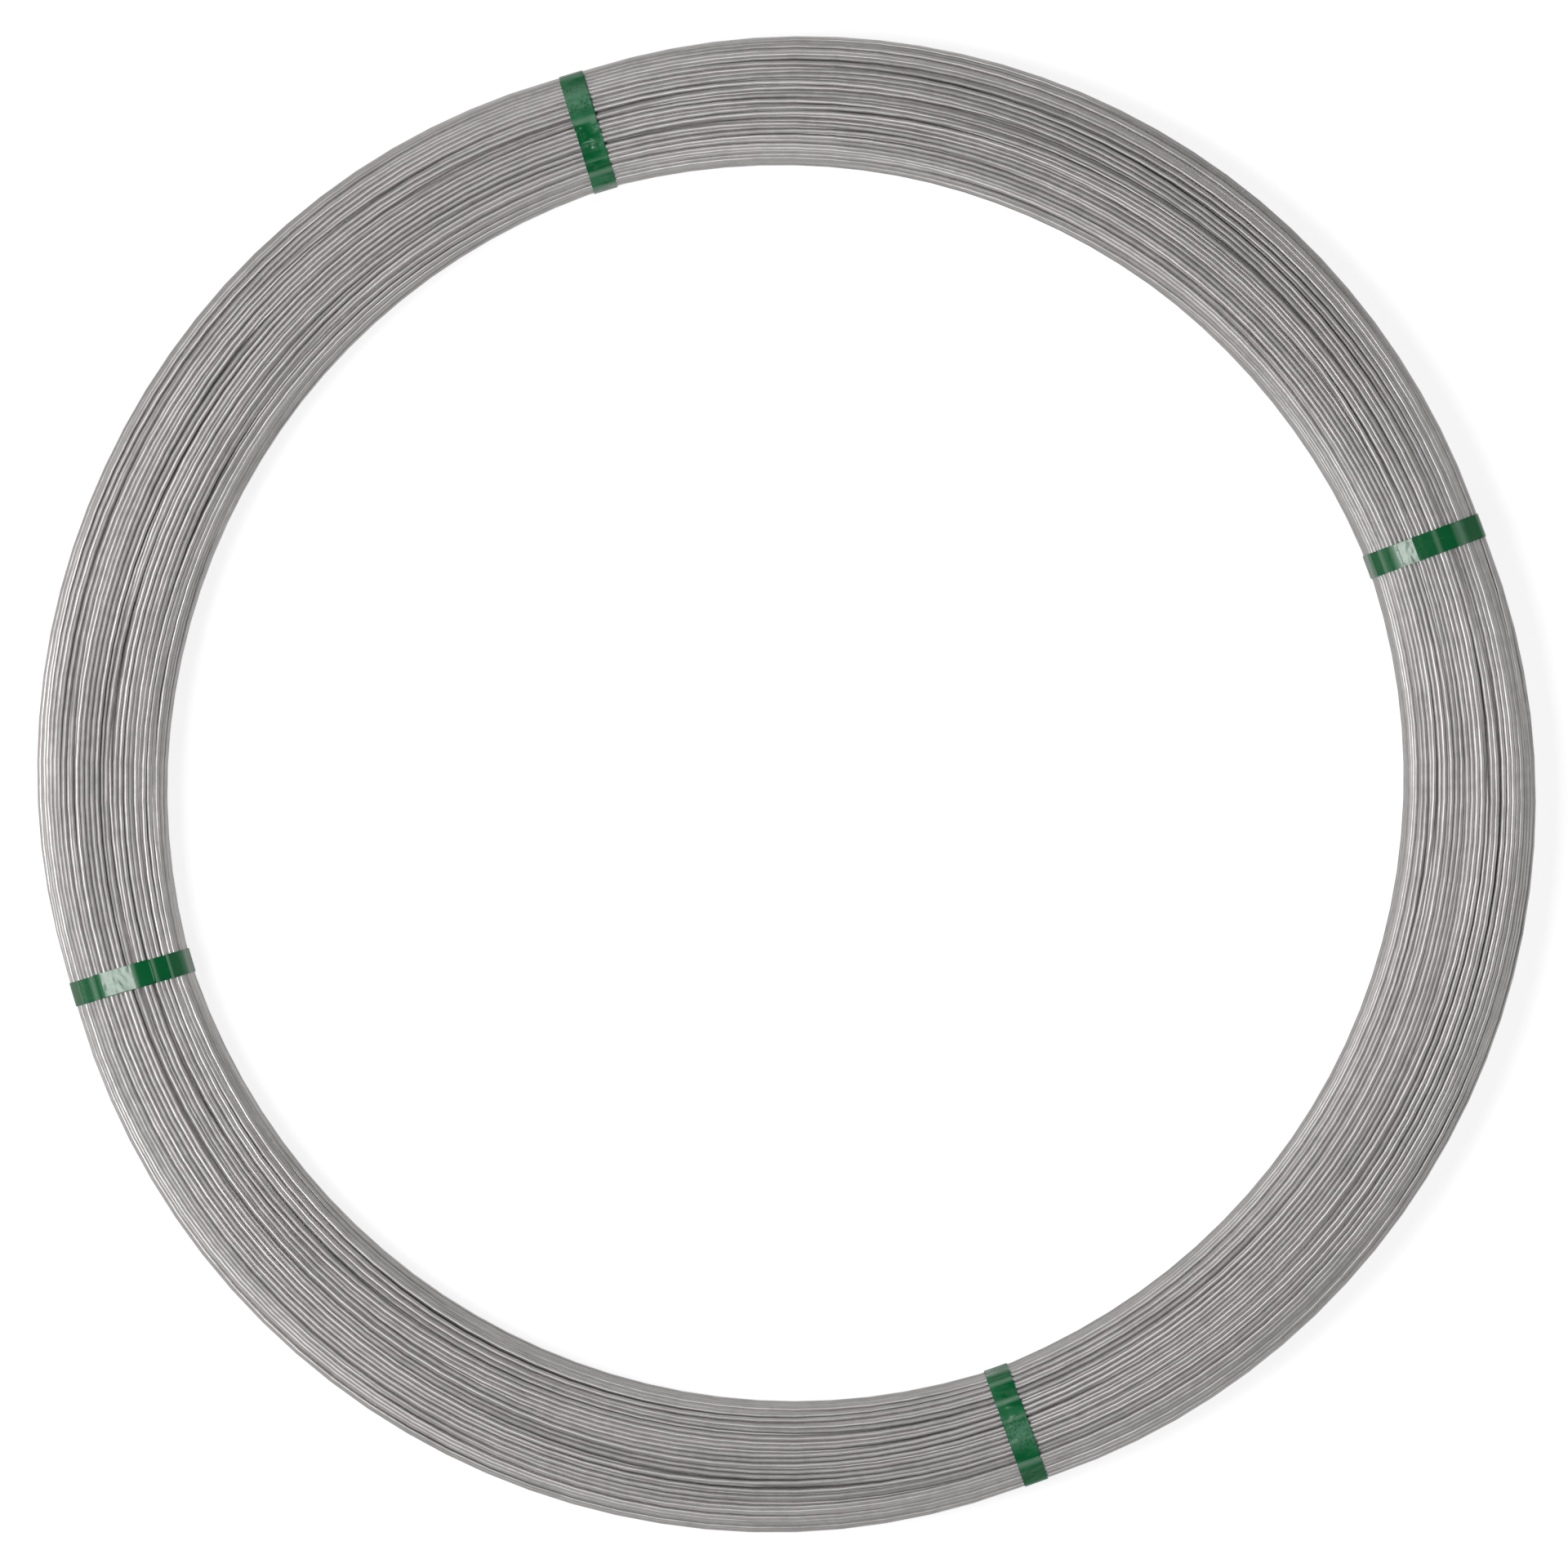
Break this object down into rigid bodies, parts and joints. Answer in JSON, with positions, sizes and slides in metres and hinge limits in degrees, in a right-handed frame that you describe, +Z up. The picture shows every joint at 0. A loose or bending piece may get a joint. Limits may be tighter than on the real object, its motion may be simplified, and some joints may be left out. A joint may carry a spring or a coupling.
{
  "type": "coil of galvanized steel wire",
  "caption": "Low coil of drawn galvanized steel wire lying flat, its turns bound by green plastic straps, with an open bore for a payoff spinner.",
  "frame": {"origin": "on the floor under the middle of the coil", "axes": "+Z up along the coil's axis; +X to the picture's right and +Y to its top"},
  "size_m": [0.8006, 0.8006, 0.0647],
  "materials": {
    "galvanized_wire": "satin",
    "strap_plastic": "gloss"
  },
  "bodies": {
    "root": {"wire_coil": "galvanized_wire", "strap_right": "strap_plastic", "strap_upper_left": "strap_plastic", "strap_left": "strap_plastic", "strap_lower_right": "strap_plastic"}
  },
  "joints": []
}
